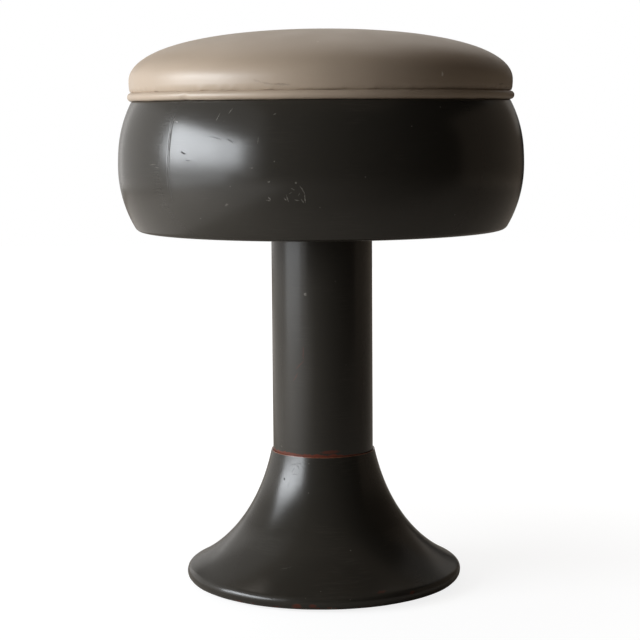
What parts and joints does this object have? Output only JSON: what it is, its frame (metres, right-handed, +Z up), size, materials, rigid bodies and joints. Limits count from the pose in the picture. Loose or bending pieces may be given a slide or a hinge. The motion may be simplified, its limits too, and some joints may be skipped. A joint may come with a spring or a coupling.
{
  "type": "swivel stool",
  "caption": "Low round swivel stool: piped crowned cushion on a bulging steel drum that turns on a tubular column in a weighted trumpet-shaped foot.",
  "frame": {"origin": "on the floor, under the column's axis", "axes": "+Z up along the column and the swivel's axis, -Y towards the picture's camera, +X to its right"},
  "size_m": [0.3544, 0.3544, 0.486],
  "materials": {
    "enamel": "satin dark olive charcoal enamel over red-brown primer, rubbed and scratched",
    "leathercloth": "satin warm taupe leathercloth, soft creases near the seam",
    "foam": "upholstery foam",
    "cord": "cotton piping cord",
    "plywood": "raw plywood",
    "iron": "rough cast, black varnish",
    "felt": "grey wool felt",
    "steel": "turned and ground steel, oiled",
    "zinc": "zinc-plated steel fasteners",
    "bronze": "sintered bronze",
    "brass": "pressed brass cage",
    "black_steel": "black-painted plate"
  },
  "bodies": {
    "foot": {"bell_base": "enamel", "ballast_disc": "iron", "floor_felt": "felt", "foot_flange": "black_steel", "foot_bolts": "zinc", "foot_washers": "zinc", "column_tube": "enamel", "bearing_housing": "steel", "upper_bush": "bronze", "lower_bush": "bronze", "lower_race": "steel"},
    "cage": {"ball_cage": "brass", "bearing_balls": "steel"},
    "seat": {"upper_race": "steel", "swivel_spindle": "steel", "spindle_washer": "zinc", "spindle_circlip": "steel", "seat_spider": "black_steel", "spider_screws": "zinc", "seat_board": "plywood", "drum_shell": "enamel", "drum_screws": "zinc", "foam_pad": "foam", "cushion_cover": "leathercloth", "piping_welt": "leathercloth", "piping_core": "cord"}
  },
  "joints": [
    {"name": "seat_swivel", "type": "hinge", "parent": "foot", "child": "seat", "pos_m": [0, 0, 0.4125], "axis": [0, 0, 1], "continuous": true},
    {"name": "cage_roll", "type": "hinge", "parent": "foot", "child": "cage", "pos_m": [0, 0, 0.4125], "axis": [0, 0, 1], "continuous": true}
  ],
  "couplings": [
    {"joint": "cage_roll", "follows": "seat_swivel", "ratio": 0.5}
  ]
}
